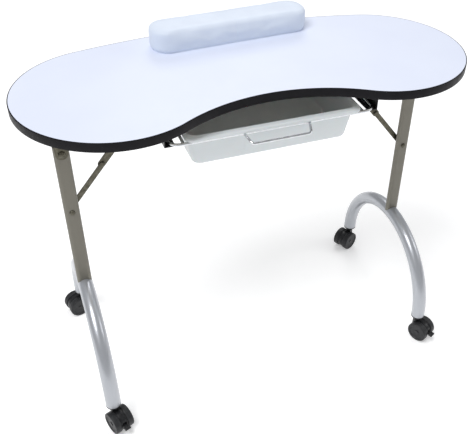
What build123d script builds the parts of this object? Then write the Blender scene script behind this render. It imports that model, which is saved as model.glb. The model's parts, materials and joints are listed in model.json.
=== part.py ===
"""Folding manicure table: a kidney-shaped worktop on two fold-under legs with castors,
folding stays, a pull-out tray on runners and a loose wrist cushion.

Frame: millimetres, +Z up, floor at z = 0, x = 0 midway between the legs.  Pieces are drawn
with y = 0 in the plane of both legs, then moved back by LEG_PLANE_Y, which puts the origin
at the middle of the footprint.  The client sits at -Y, in the hollow of the kidney.
"""
from build123d import *
import os
from math import atan2, cos, degrees, hypot, radians, sin, sqrt

# --- Worktop -------------------------------------------------------------------------
TABLE_LENGTH = 900.0
TABLE_DEPTH = 390.0
TABLE_HEIGHT = 700.0
BACK_CROWN = 30.0            # how far the back edge bows out beyond the lobes
NOTCH_RADIUS = 330.0         # hollow of the front edge
CORE_THICKNESS = 17.0
LAMINATE_THICKNESS = 1.0
EDGE_BAND_THICKNESS = 2.0

# --- Legs ----------------------------------------------------------------------------
LEG_PLANE_Y = 14.0           # from the middle of the footprint back to the plane of the legs
LEG_INSET = 75.0             # from each end of the worktop to the leg
POST_WIDTH = 30.0            # flat-oval tube, along X
POST_DEPTH = 15.0            # flat-oval tube, along Y
TUBE_WALL = 1.5
ARCH_RADIUS = 186.0          # centre line of the foot arch
ARCH_TUBE = 32.0             # outside diameter
ARCH_END_HEIGHT = 63.0       # tube ends above the floor
LEG_PIVOT_DROP = 100.0       # from the underside of the worktop to the leg pivot
POST_OVER_PIVOT = 13.0       # tube left above the pivot

# --- Leg hangers ---------------------------------------------------------------------
HANGER_SHEET = 2.5
HANGER_WIDTH = 24.0
HANGER_GAP = 0.2             # on each side of the post
HANGER_PLATE_LENGTH = 64.0
HANGER_PLATE_WIDTH = 60.0
HANGER_SCREW_X = 22.0
HANGER_SCREW_Y = 21.0
PIVOT_BOLT_RADIUS = 4.0
PIVOT_HEAD_RADIUS = 7.0
PIVOT_HEAD_HEIGHT = 5.0
PIVOT_NUT_RADIUS = 7.5
PIVOT_NUT_HEIGHT = 6.5

# --- Folding stays -------------------------------------------------------------------
STAY_FOOT_DROP = 138.0       # from the leg pivot down to the stay's lower pivot
STAY_HEAD_DROP = 53.0        # from the underside down to the stay's upper pivot
STAY_HEAD_GAP = 11.5         # from the runner's outer face to the upper pivot
STAY_LOWER_LENGTH = 113.0
STAY_LOWER_WIDTH = 11.0
STAY_UPPER_WIDTH = 15.0
STAY_THICKNESS = 3.0
STAY_LAP_GAP = 0.3           # between the two lapped flats
STAY_BOLT_RADIUS = 3.0
STAY_BOLT_HEAD_RADIUS = 5.5
STAY_BOLT_HEAD_HEIGHT = 4.0
STAY_WASHER_RADIUS = 6.5
STAY_WASHER_THICKNESS = 0.45
STAY_NUT_RADIUS = 5.8
STAY_NUT_HEIGHT = 5.0
KNEE_RIVET_RADIUS = 3.0
KNEE_HEAD_RADIUS = 6.0
KNEE_HEAD_HEIGHT = 2.0
BRACKET_SHEET = 2.0
BRACKET_LENGTH = 40.0
BRACKET_WIDTH = 30.0
BRACKET_EAR_RADIUS = 9.0
BRACKET_RIVET_RADIUS = 3.0
BRACKET_RIVET_HEAD_RADIUS = 5.5
BRACKET_RIVET_HEAD_HEIGHT = 2.0

# --- Tray runners --------------------------------------------------------------------
RUNNER_HALF_SPAN = 211.0     # centre to the outer face of a runner
RUNNER_WIDTH = 26.0
RUNNER_HEIGHT = 44.0
RUNNER_SHEET = 1.5
RUNNER_SHELF_WIDTH = 20.0
RUNNER_FRONT = -138.0
RUNNER_LENGTH = 250.0
RUNNER_STOP_LENGTH = 4.0
RUNNER_STOP_HEIGHT = 16.0

# --- Tray and its wire frame ---------------------------------------------------------
WIRE_RADIUS = 3.0
WIRE_SIDE_GAP = 3.5          # from the wire to the inside of the runner
WIRE_REST_GAP = 0.15         # from the wire to the runner's shelf
WIRE_CORNER_RADIUS = 20.0    # centre line
WIRE_FRONT = -143.0
WIRE_END_GAP = 0.5           # from the wire's rear end to the runner stop
REAR_WIRE_RADIUS = 2.5
SIDE_BAR_THICKNESS = 3.0
SIDE_BAR_WIDTH = 5.0
SIDE_BAR_GAP = 1.5           # from the tray's rim to a side bar
TRAY_RIM_LENGTH = 347.0      # along X
TRAY_RIM_SIDE = 5.0          # how far the rim stands out along the sides
TRAY_RIM_END = 12.0          # and along the front and the back, where it covers the wire
TRAY_RIM_THICKNESS = 6.35
TRAY_RIM_CORNER_RADIUS = 15.0
TRAY_LIP_THICKNESS = 3.0     # the rim's edge that hangs in front of the wire
TRAY_LIP_DROP = 1.0
TRAY_LIP_GAP = 0.5           # from the lip to the wire
TRAY_HEIGHT = 72.0           # rim top to underside
TRAY_DRAFT = 13.0            # how much each side draws in towards the bottom
TRAY_WALL = 2.5
TRAY_FLOOR = 3.0
TRAY_CORNER_RADIUS = 15.0    # outside, at the bottom
HANDLE_WIRE_RADIUS = 2.5
HANDLE_FOOT_SPAN = 130.0
HANDLE_GRIP_SPAN = 116.0
HANDLE_REACH = 26.0
HANDLE_DROP = 9.0
HANDLE_BEND_RADIUS = 8.0

# --- Castors -------------------------------------------------------------------------
WHEEL_RADIUS = 25.0
WHEEL_WIDTH = 14.0
WHEEL_EDGE_FILLET = 2.5
WHEEL_RECESS_RADIUS = 18.0
WHEEL_RECESS_DEPTH = 1.5
CASTOR_TRAIL = 17.0
CASTOR_BODY_RADIUS = 23.0
CASTOR_BODY_THICKNESS = 14.0
CASTOR_BODY_GROUND_GAP = 8.0
CASTOR_NECK_RADIUS = 9.0
WHEEL_SIDE_GAP = 0.6
NECK_WHEEL_GAP = 0.6
AXLE_RADIUS = 3.0
AXLE_HEAD_RADIUS = 5.0
AXLE_HEAD_HEIGHT = 1.2
STEM_RADIUS = 4.0
STEM_LENGTH = 22.0           # standing out of the neck
STEM_SEAT = 12.0             # pressed into the neck
SOCKET_FLANGE = 3.0
SOCKET_DEPTH = 24.0
SWIVEL_GAP = 0.2
RUNNING_CLEARANCE = 0.05     # radial, wherever one piece turns on another
BRAKE_PIVOT_RADIUS = 14.0    # from the axle to the brake lever's pivot
BRAKE_ARM_WIDTH = 8.4
BRAKE_SLOT_WIDTH = 9.2
BRAKE_HUB_RADIUS = 4.5
BRAKE_TRUNNION_RADIUS = 2.0
BRAKE_PEDAL_WIDTH = 13.0
BRAKE_PEDAL_LENGTH = 9.0
BRAKE_PEDAL_THICKNESS = 5.0
BRAKE_REACH = 21.0           # from the lever's pivot to the pedal's tip
# Direction in which each castor trails at rest, in degrees from +X.
TRAIL_ANGLE = {"front_left": -70.0, "front_right": -65.0, "rear_right": -155.0, "rear_left": -165.0}
BRAKED = ("front_left", "front_right")

# --- Wrist cushion -------------------------------------------------------------------
CUSHION_LENGTH = 340.0
CUSHION_DEPTH = 78.0
CUSHION_HEIGHT = 46.0
CUSHION_END_RADIUS = 34.0
CUSHION_TOP_FILLET = 13.0
CUSHION_BOTTOM_FILLET = 4.0
CUSHION_BASE_THICKNESS = 4.0
CUSHION_BASE_INSET = 5.0
CUSHION_X = 6.0
CUSHION_Y = 138.5
CUSHION_TURN = 4.0           # degrees, as it happens to lie

# --- Wood screws ---------------------------------------------------------------------
SCREW_RADIUS = 2.0
SCREW_HOLE_RADIUS = 2.3      # through sheet metal
SCREW_HEAD_RADIUS = 4.0
SCREW_HEAD_HEIGHT = 2.2
SCREW_LENGTH = 14.0

# --- Sizes that follow from the ones above -------------------------------------------
LOBE_RADIUS = (TABLE_DEPTH - BACK_CROWN) / 2
LOBE_X = TABLE_LENGTH / 2 - LOBE_RADIUS
LOBE_Y = LOBE_RADIUS - TABLE_DEPTH / 2
BACK_RADIUS = (LOBE_X**2 + (LOBE_RADIUS + BACK_CROWN) ** 2 - LOBE_RADIUS**2) / (2 * BACK_CROWN)
BACK_CENTRE_Y = TABLE_DEPTH / 2 - BACK_RADIUS
NOTCH_CENTRE_Y = LOBE_Y - sqrt((LOBE_RADIUS + NOTCH_RADIUS) ** 2 - LOBE_X**2)
CORE_TOP = TABLE_HEIGHT - LAMINATE_THICKNESS
UNDERSIDE = CORE_TOP - CORE_THICKNESS

LEG_X = TABLE_LENGTH / 2 - LEG_INSET
LEG_PIVOT_Z = UNDERSIDE - LEG_PIVOT_DROP
ARCH_TOP = ARCH_END_HEIGHT + ARCH_RADIUS
HANGER_INNER_Y = POST_DEPTH / 2 + HANGER_GAP
HANGER_OUTER_Y = HANGER_INNER_Y + HANGER_SHEET
POST_CORNER_SWING = hypot(POST_WIDTH / 2, POST_OVER_PIVOT)

STAY_FOOT_Z = LEG_PIVOT_Z - STAY_FOOT_DROP
STAY_HEAD_X = RUNNER_HALF_SPAN + STAY_HEAD_GAP
STAY_HEAD_Z = UNDERSIDE - STAY_HEAD_DROP
STAY_RUN_X = STAY_HEAD_X - LEG_X
STAY_RUN_Z = STAY_HEAD_Z - STAY_FOOT_Z
STAY_SPAN = hypot(STAY_RUN_X, STAY_RUN_Z)
STAY_UPPER_LENGTH = STAY_SPAN - STAY_LOWER_LENGTH
STAY_DIRECTION = (STAY_RUN_X / STAY_SPAN, 0, STAY_RUN_Z / STAY_SPAN)
KNEE_X = LEG_X + STAY_DIRECTION[0] * STAY_LOWER_LENGTH
KNEE_Z = STAY_FOOT_Z + STAY_DIRECTION[2] * STAY_LOWER_LENGTH
STAY_LOWER_Y = POST_DEPTH / 2 + STAY_WASHER_THICKNESS + RUNNING_CLEARANCE
STAY_NUT_Y = STAY_LOWER_Y + STAY_THICKNESS + RUNNING_CLEARANCE
STAY_UPPER_Y = STAY_LOWER_Y + STAY_THICKNESS + STAY_LAP_GAP
BRACKET_EAR_Y = STAY_UPPER_Y + STAY_THICKNESS + RUNNING_CLEARANCE
BRACKET_X = RUNNER_HALF_SPAN + STAY_HEAD_GAP - BRACKET_EAR_RADIUS

RUNNER_BOTTOM = UNDERSIDE - RUNNER_HEIGHT
RUNNER_REAR = RUNNER_FRONT + RUNNER_LENGTH
RUNNER_SHELF_TOP = RUNNER_BOTTOM + RUNNER_SHEET
WIRE_X = RUNNER_HALF_SPAN - RUNNER_SHEET - WIRE_SIDE_GAP - WIRE_RADIUS
WIRE_Z = RUNNER_SHELF_TOP + WIRE_REST_GAP + WIRE_RADIUS
WIRE_REAR = RUNNER_REAR - RUNNER_STOP_LENGTH - WIRE_END_GAP
REAR_WIRE_Y = WIRE_REAR - WIRE_RADIUS
RIM_UNDERSIDE = WIRE_Z + WIRE_RADIUS
RIM_TOP = RIM_UNDERSIDE + TRAY_RIM_THICKNESS
TRAY_BOTTOM = RIM_TOP - TRAY_HEIGHT
TRAY_LIP_REACH = TRAY_LIP_GAP + TRAY_LIP_THICKNESS
TRAY_FRONT = WIRE_FRONT - WIRE_RADIUS - TRAY_LIP_REACH
TRAY_REAR = REAR_WIRE_Y + REAR_WIRE_RADIUS + TRAY_LIP_REACH
TRAY_RIM_DEPTH = TRAY_REAR - TRAY_FRONT
TRAY_Y = (TRAY_FRONT + TRAY_REAR) / 2

AXLE_Z = WHEEL_RADIUS
SOCKET_BOTTOM = ARCH_END_HEIGHT - SOCKET_FLANGE
NECK_TOP = SOCKET_BOTTOM - SWIVEL_GAP
CORNERS = {
    "front_left": (-LEG_X, -ARCH_RADIUS),
    "front_right": (LEG_X, -ARCH_RADIUS),
    "rear_right": (LEG_X, ARCH_RADIUS),
    "rear_left": (-LEG_X, ARCH_RADIUS),
}


# --- Helpers -------------------------------------------------------------------------
def block(x, y, z):
    """A box given by its (low, high) pair along each axis."""
    middle = [(low + high) / 2 for low, high in (x, y, z)]
    size = [high - low for low, high in (x, y, z)]
    return Pos(*middle) * Box(*size)


def upright(x, y, low, high, radius):
    """A cylinder along Z."""
    return Pos(x, y, (low + high) / 2) * Cylinder(radius, high - low)


def crosswise(x, z, low, high, radius):
    """A cylinder along Y."""
    return Pos(x, (low + high) / 2, z) * Rot(90, 0, 0) * Cylinder(radius, high - low)


def hex_nut(x, z, low, high, radius, bore):
    """A hexagon nut whose axis is along Y."""
    face = Plane((x, low, z), x_dir=(1, 0, 0), z_dir=(0, 1, 0)) * RegularPolygon(radius, 6)
    return extrude(face, high - low) - crosswise(x, z, low, high, bore)


def to_left(shape):
    """The left-hand copy of a right-hand shape."""
    return mirror(shape, Plane.YZ)


def wood_screw(x, y, seat):
    """A pan-head screw driven up into the worktop, with its head below `seat`."""
    head = upright(x, y, seat - SCREW_HEAD_HEIGHT, seat, SCREW_HEAD_RADIUS)
    return head + upright(x, y, seat, seat + SCREW_LENGTH, SCREW_RADIUS)


def flat_link(start, direction, length, width, low_y, bores):
    """A flat bar with round ends in the XZ plane; `bores` pairs a place along it with a radius."""
    plane = Plane((start[0], low_y, start[1]), x_dir=direction, z_dir=(0, 1, 0))
    outline = Pos(length / 2, 0) * SlotCenterToCenter(length, width)
    for place, radius in bores:
        outline -= Pos(place, 0) * Circle(radius)
    return extrude(plane * outline, STAY_THICKNESS)


# --- Worktop -------------------------------------------------------------------------
def kidney(inset):
    """The worktop's outline, drawn in by `inset`: two lobes, a bowed back, a hollow front."""
    lobe = LOBE_RADIUS - inset
    back = BACK_RADIUS - inset
    notch = NOTCH_RADIUS + inset
    to_back = Vector(LOBE_X, LOBE_Y - BACK_CENTRE_Y).normalized()
    to_notch = Vector(LOBE_X, LOBE_Y - NOTCH_CENTRE_Y).normalized()
    back_right = Vector(0, BACK_CENTRE_Y) + to_back * back
    front_right = Vector(0, NOTCH_CENTRE_Y) + to_notch * notch
    back_left = Vector(-back_right.X, back_right.Y)
    front_left = Vector(-front_right.X, front_right.Y)
    edges = [
        ThreePointArc(back_left, (0, BACK_CENTRE_Y + back), back_right),
        ThreePointArc(back_right, (LOBE_X + lobe, LOBE_Y), front_right),
        ThreePointArc(front_right, (0, NOTCH_CENTRE_Y + notch), front_left),
        ThreePointArc(front_left, (-LOBE_X - lobe, LOBE_Y), back_left),
    ]
    return Face(Wire(edges))


def slab(face, low, high):
    return extrude(Pos(0, 0, low) * face, high - low, dir=(0, 0, 1))


def hanger_screw_places():
    return [
        (side * LEG_X + x, y)
        for side in (-1, 1)
        for x in (-HANGER_SCREW_X, HANGER_SCREW_X)
        for y in (-HANGER_SCREW_Y, HANGER_SCREW_Y)
    ]


def bracket_screw_places():
    y = BRACKET_EAR_Y + BRACKET_WIDTH * 0.6
    return [
        (side * (BRACKET_X + x), y)
        for side in (-1, 1)
        for x in (BRACKET_LENGTH * 0.25, BRACKET_LENGTH * 0.75)
    ]


def runner_screw_places():
    x = RUNNER_HALF_SPAN - RUNNER_WIDTH / 2
    margin = RUNNER_LENGTH * 0.1
    ys = (RUNNER_FRONT + margin, RUNNER_FRONT + RUNNER_LENGTH / 2, RUNNER_REAR - margin)
    return [(side * x, y) for side in (-1, 1) for y in ys]


def top_board():
    board = slab(kidney(EDGE_BAND_THICKNESS), UNDERSIDE, CORE_TOP)
    seats = (
        (hanger_screw_places(), HANGER_SHEET),
        (bracket_screw_places(), BRACKET_SHEET),
        (runner_screw_places(), RUNNER_SHEET),
    )
    for places, sheet in seats:
        for x, y in places:
            board -= upright(x, y, UNDERSIDE, UNDERSIDE - sheet + SCREW_LENGTH, SCREW_RADIUS)
    return board


def top_laminate():
    return slab(kidney(EDGE_BAND_THICKNESS), CORE_TOP, TABLE_HEIGHT)


def edge_band():
    outer = slab(kidney(0), UNDERSIDE, TABLE_HEIGHT)
    return outer - slab(kidney(EDGE_BAND_THICKNESS), UNDERSIDE, TABLE_HEIGHT)


# --- Leg hangers and pivots ----------------------------------------------------------
def leg_hanger():
    """Right-hand hanger: a screwed plate, two cheeks and a web that joins them."""
    half_length = HANGER_PLATE_LENGTH / 2
    half_width = HANGER_PLATE_WIDTH / 2
    plate_bottom = UNDERSIDE - HANGER_SHEET
    plate = block(
        (LEG_X - half_length, LEG_X + half_length), (-half_width, half_width), (plate_bottom, UNDERSIDE)
    )
    plate -= Compound([
        upright(LEG_X + x, y, plate_bottom, UNDERSIDE, SCREW_HOLE_RADIUS)
        for x in (-HANGER_SCREW_X, HANGER_SCREW_X)
        for y in (-HANGER_SCREW_Y, HANGER_SCREW_Y)
    ])
    edges_x = (LEG_X - HANGER_WIDTH / 2, LEG_X + HANGER_WIDTH / 2)
    hanger = plate
    for low, high in ((-HANGER_OUTER_Y, -HANGER_INNER_Y), (HANGER_INNER_Y, HANGER_OUTER_Y)):
        cheek = block(edges_x, (low, high), (LEG_PIVOT_Z, plate_bottom))
        cheek += crosswise(LEG_X, LEG_PIVOT_Z, low, high, HANGER_WIDTH / 2)
        cheek -= crosswise(LEG_X, LEG_PIVOT_Z, low, high, PIVOT_BOLT_RADIUS)
        hanger += cheek
    web_bottom = LEG_PIVOT_Z + POST_CORNER_SWING + HANGER_SHEET
    web_x = (edges_x[1] - HANGER_SHEET, edges_x[1])
    return hanger + block(web_x, (-HANGER_INNER_Y, HANGER_INNER_Y), (web_bottom, plate_bottom))


def hanger_screws():
    seat = UNDERSIDE - HANGER_SHEET
    return Compound([wood_screw(x, y, seat) for x, y in hanger_screw_places()])


def leg_pivot_bolts():
    """Both leg pivots: a bolt with its head in front, and its nut behind."""
    nut_end = HANGER_OUTER_Y + PIVOT_NUT_HEIGHT
    pieces = []
    for x in (-LEG_X, LEG_X):
        head = crosswise(
            x, LEG_PIVOT_Z, -HANGER_OUTER_Y - PIVOT_HEAD_HEIGHT, -HANGER_OUTER_Y, PIVOT_HEAD_RADIUS
        )
        pieces.append(head + crosswise(x, LEG_PIVOT_Z, -HANGER_OUTER_Y, nut_end, PIVOT_BOLT_RADIUS))
        pieces.append(
            hex_nut(x, LEG_PIVOT_Z, HANGER_OUTER_Y, nut_end, PIVOT_NUT_RADIUS, PIVOT_BOLT_RADIUS)
        )
    return Compound(pieces)


# --- Legs ----------------------------------------------------------------------------
def arch_bar(radius, angle):
    """A round bar that follows the foot arch from its front end, through `angle` degrees."""
    section = Pos(LEG_X, -ARCH_RADIUS, ARCH_END_HEIGHT) * Circle(radius)
    return revolve(section, Axis((0, 0, ARCH_END_HEIGHT), (-1, 0, 0)), angle)


def leg_post():
    """Right-hand post: a flat-oval tube, bored for two pivots and coped onto the arch."""
    height = LEG_PIVOT_Z + POST_OVER_PIVOT - ARCH_TOP
    base = Pos(LEG_X, 0, ARCH_TOP)
    outer = extrude(base * SlotOverall(POST_WIDTH, POST_DEPTH), height)
    inner = extrude(base * SlotOverall(POST_WIDTH - 2 * TUBE_WALL, POST_DEPTH - 2 * TUBE_WALL), height)
    post = outer - inner - arch_bar(ARCH_TUBE / 2, 180)
    post -= crosswise(
        LEG_X, LEG_PIVOT_Z, -POST_DEPTH, POST_DEPTH, PIVOT_BOLT_RADIUS + RUNNING_CLEARANCE
    )
    return post - crosswise(LEG_X, STAY_FOOT_Z, -POST_DEPTH, POST_DEPTH, STAY_BOLT_RADIUS)


def foot_arch():
    """Right-hand arch: a half circle of round tube, open at both ends."""
    return arch_bar(ARCH_TUBE / 2, 180) - arch_bar(ARCH_TUBE / 2 - TUBE_WALL, 180)


def castor_sockets():
    """Right-hand pair of plugs in the ends of the arch, bored for the castor stems."""
    plug_angle = degrees(SOCKET_DEPTH / ARCH_RADIUS)
    flange = upright(LEG_X, -ARCH_RADIUS, SOCKET_BOTTOM, ARCH_END_HEIGHT, ARCH_TUBE / 2)
    socket = flange + arch_bar(ARCH_TUBE / 2 - TUBE_WALL, plug_angle)
    bore_top = ARCH_END_HEIGHT + SOCKET_DEPTH
    socket -= upright(
        LEG_X, -ARCH_RADIUS, SOCKET_BOTTOM, bore_top + SOCKET_FLANGE, STEM_RADIUS + RUNNING_CLEARANCE
    )
    return Compound([socket, mirror(socket, Plane.XZ)])


# --- Folding stays -------------------------------------------------------------------
def stay_bolt():
    """Right-hand lower pivot: bolt, washer and nut through the post."""
    washer_end = POST_DEPTH / 2 + STAY_WASHER_THICKNESS
    nut_end = STAY_NUT_Y + STAY_NUT_HEIGHT
    head_start = -POST_DEPTH / 2 - STAY_BOLT_HEAD_HEIGHT
    bolt = crosswise(LEG_X, STAY_FOOT_Z, head_start, -POST_DEPTH / 2, STAY_BOLT_HEAD_RADIUS)
    bolt += crosswise(LEG_X, STAY_FOOT_Z, -POST_DEPTH / 2, nut_end, STAY_BOLT_RADIUS)
    washer = crosswise(LEG_X, STAY_FOOT_Z, POST_DEPTH / 2, washer_end, STAY_WASHER_RADIUS)
    washer -= crosswise(LEG_X, STAY_FOOT_Z, POST_DEPTH / 2, washer_end, STAY_BOLT_RADIUS)
    nut = hex_nut(LEG_X, STAY_FOOT_Z, STAY_NUT_Y, nut_end, STAY_NUT_RADIUS, STAY_BOLT_RADIUS)
    return Compound([bolt, washer, nut])


def stay_lower():
    """Right-hand lower flat, from the post up to the knee."""
    bores = [(0, STAY_BOLT_RADIUS + RUNNING_CLEARANCE)]
    return flat_link(
        (LEG_X, STAY_FOOT_Z), STAY_DIRECTION, STAY_LOWER_LENGTH, STAY_LOWER_WIDTH, STAY_LOWER_Y, bores
    )


def stay_upper():
    """Right-hand upper flat, from the knee up to the bracket under the worktop."""
    bores = [
        (0, KNEE_RIVET_RADIUS),
        (STAY_UPPER_LENGTH, BRACKET_RIVET_RADIUS + RUNNING_CLEARANCE),
    ]
    return flat_link(
        (KNEE_X, KNEE_Z), STAY_DIRECTION, STAY_UPPER_LENGTH, STAY_UPPER_WIDTH, STAY_UPPER_Y, bores
    )


def knee_rivet():
    """Right-hand knee rivet: its shank ends flush with the lap of the two flats."""
    head_y = STAY_UPPER_Y + STAY_THICKNESS
    rivet = crosswise(KNEE_X, KNEE_Z, STAY_UPPER_Y, head_y, KNEE_RIVET_RADIUS)
    return rivet + crosswise(KNEE_X, KNEE_Z, head_y, head_y + KNEE_HEAD_HEIGHT, KNEE_HEAD_RADIUS)


def stay_bracket():
    """Right-hand angle bracket: a screwed foot and an ear for the upper pivot."""
    foot_bottom = UNDERSIDE - BRACKET_SHEET
    ear_y = (BRACKET_EAR_Y, BRACKET_EAR_Y + BRACKET_SHEET)
    bracket = block(
        (BRACKET_X, BRACKET_X + BRACKET_LENGTH),
        (BRACKET_EAR_Y, BRACKET_EAR_Y + BRACKET_WIDTH),
        (foot_bottom, UNDERSIDE),
    )
    bracket += block((BRACKET_X, BRACKET_X + 2 * BRACKET_EAR_RADIUS), ear_y, (STAY_HEAD_Z, foot_bottom))
    bracket += crosswise(STAY_HEAD_X, STAY_HEAD_Z, *ear_y, BRACKET_EAR_RADIUS)
    bracket -= crosswise(STAY_HEAD_X, STAY_HEAD_Z, *ear_y, BRACKET_RIVET_RADIUS)
    for x, y in bracket_screw_places():
        bracket -= upright(x, y, foot_bottom, UNDERSIDE, SCREW_HOLE_RADIUS)
    return bracket


def bracket_screws():
    seat = UNDERSIDE - BRACKET_SHEET
    return Compound([wood_screw(x, y, seat) for x, y in bracket_screw_places()])


def bracket_rivets():
    """Both upper pivots, fixed in the brackets' ears; the upper flats turn on them."""
    front = STAY_UPPER_Y - RUNNING_CLEARANCE
    back = BRACKET_EAR_Y + BRACKET_SHEET
    pieces = []
    for x in (-STAY_HEAD_X, STAY_HEAD_X):
        shank = crosswise(x, STAY_HEAD_Z, front, back, BRACKET_RIVET_RADIUS)
        for low in (front - BRACKET_RIVET_HEAD_HEIGHT, back):
            high = low + BRACKET_RIVET_HEAD_HEIGHT
            shank += crosswise(x, STAY_HEAD_Z, low, high, BRACKET_RIVET_HEAD_RADIUS)
        pieces.append(shank)
    return Compound(pieces)


# --- Tray runners --------------------------------------------------------------------
def tray_runner():
    """Right-hand runner: a channel open towards the tray, with a shelf for the wire frame."""
    along = (RUNNER_FRONT, RUNNER_REAR)
    outer = RUNNER_HALF_SPAN
    flange = block((outer - RUNNER_WIDTH, outer), along, (UNDERSIDE - RUNNER_SHEET, UNDERSIDE))
    web = block((outer - RUNNER_SHEET, outer), along, (RUNNER_BOTTOM, UNDERSIDE))
    shelf = block((outer - RUNNER_SHELF_WIDTH, outer), along, (RUNNER_BOTTOM, RUNNER_SHELF_TOP))
    runner = flange + web + shelf
    for x, y in runner_screw_places():
        runner -= upright(x, y, UNDERSIDE - RUNNER_SHEET, UNDERSIDE, SCREW_HOLE_RADIUS)
    return runner


def runner_screws():
    seat = UNDERSIDE - RUNNER_SHEET
    return Compound([wood_screw(x, y, seat) for x, y in runner_screw_places()])


def runner_stops():
    """Rear stops: a block in the back end of each runner, behind the wire frame."""
    stop = block(
        (RUNNER_HALF_SPAN - RUNNER_SHELF_WIDTH, RUNNER_HALF_SPAN - RUNNER_SHEET),
        (RUNNER_REAR - RUNNER_STOP_LENGTH, RUNNER_REAR),
        (RUNNER_SHELF_TOP, RUNNER_SHELF_TOP + RUNNER_STOP_HEIGHT),
    )
    return Compound([to_left(stop), stop])


# --- Tray and its wire frame ---------------------------------------------------------
def wire_frame():
    """The bent wire that carries the tray: a front run and two sides that slide in the runners."""
    path = FilletPolyline(
        (-WIRE_X, WIRE_REAR, WIRE_Z),
        (-WIRE_X, WIRE_FRONT, WIRE_Z),
        (WIRE_X, WIRE_FRONT, WIRE_Z),
        (WIRE_X, WIRE_REAR, WIRE_Z),
        radius=WIRE_CORNER_RADIUS,
    )
    section = Plane((-WIRE_X, WIRE_REAR, WIRE_Z), z_dir=(0, -1, 0)) * Circle(WIRE_RADIUS)
    return sweep(section, path)


def rear_wire():
    """The straight wire welded between the rear ends of the frame."""
    middle = Pos(0, REAR_WIRE_Y, WIRE_Z) * Rot(0, 90, 0)
    return middle * Cylinder(REAR_WIRE_RADIUS, 2 * WIRE_X) - wire_frame()


def side_bar():
    """Right-hand flat bar beside the tray, welded between the front and the rear wire."""
    inner = TRAY_RIM_LENGTH / 2 + SIDE_BAR_GAP
    half = SIDE_BAR_THICKNESS / 2
    bar = block((inner, inner + SIDE_BAR_WIDTH), (WIRE_FRONT, REAR_WIRE_Y), (WIRE_Z - half, WIRE_Z + half))
    return bar - wire_frame() - rear_wire()


def pull_handle():
    """A wire loop welded to the front wire, standing forward and a little down."""
    tilt = hypot(HANDLE_REACH, HANDLE_DROP)
    plane = Plane(
        (0, WIRE_FRONT, WIRE_Z),
        x_dir=(1, 0, 0),
        z_dir=(0, HANDLE_DROP / tilt, -HANDLE_REACH / tilt),
    )
    outline = [
        (-HANDLE_FOOT_SPAN / 2, 0),
        (-HANDLE_GRIP_SPAN / 2, tilt),
        (HANDLE_GRIP_SPAN / 2, tilt),
        (HANDLE_FOOT_SPAN / 2, 0),
    ]
    points = [plane.from_local_coords(Vector(x, y, 0)) for x, y in outline]
    path = FilletPolyline(*points, radius=HANDLE_BEND_RADIUS)
    section = Plane(points[0], z_dir=points[1] - points[0]) * Circle(HANDLE_WIRE_RADIUS)
    return sweep(section, path) - wire_frame()


def tray():
    """A shallow drawn tray; its thick rim rests on the wire frame and hooks over both wires."""
    bottom_length = TRAY_RIM_LENGTH - 2 * TRAY_RIM_SIDE - 2 * TRAY_DRAFT
    bottom_depth = TRAY_RIM_DEPTH - 2 * TRAY_RIM_END - 2 * TRAY_DRAFT

    def outline(z, grow, corner):
        return Pos(0, TRAY_Y, z) * RectangleRounded(
            bottom_length + 2 * grow, bottom_depth + 2 * grow, corner
        )

    top_corner = TRAY_CORNER_RADIUS + TRAY_DRAFT / 2
    outer = loft([
        outline(TRAY_BOTTOM, 0, TRAY_CORNER_RADIUS),
        outline(RIM_TOP, TRAY_DRAFT, top_corner),
    ])
    hollow = loft([
        outline(TRAY_BOTTOM + TRAY_FLOOR, -TRAY_WALL, TRAY_CORNER_RADIUS - TRAY_WALL),
        outline(RIM_TOP, TRAY_DRAFT - TRAY_WALL, top_corner - TRAY_WALL),
    ])
    rim_face = RectangleRounded(TRAY_RIM_LENGTH, TRAY_RIM_DEPTH, TRAY_RIM_CORNER_RADIUS)
    rim = extrude(Pos(0, TRAY_Y, RIM_UNDERSIDE) * rim_face, TRAY_RIM_THICKNESS)
    rim = fillet(rim.edges().filter_by_position(Axis.Z, RIM_TOP, RIM_TOP), TRAY_RIM_THICKNESS * 0.4)
    lip_half = TRAY_RIM_LENGTH / 2 - TRAY_RIM_CORNER_RADIUS
    lip_z = (RIM_UNDERSIDE - TRAY_LIP_DROP, RIM_UNDERSIDE + TRAY_LIP_DROP)
    for low_y in (TRAY_FRONT, TRAY_REAR - TRAY_LIP_THICKNESS):
        rim += block((-lip_half, lip_half), (low_y, low_y + TRAY_LIP_THICKNESS), lip_z)
    return outer + rim - hollow


# --- Castors -------------------------------------------------------------------------
def place_castor(shape, corner):
    """Turn a castor piece, built trailing along +X, to its rest direction under its tube end."""
    x, y = CORNERS[corner]
    return Pos(x, y, 0) * Rot(0, 0, TRAIL_ANGLE[corner]) * shape


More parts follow.
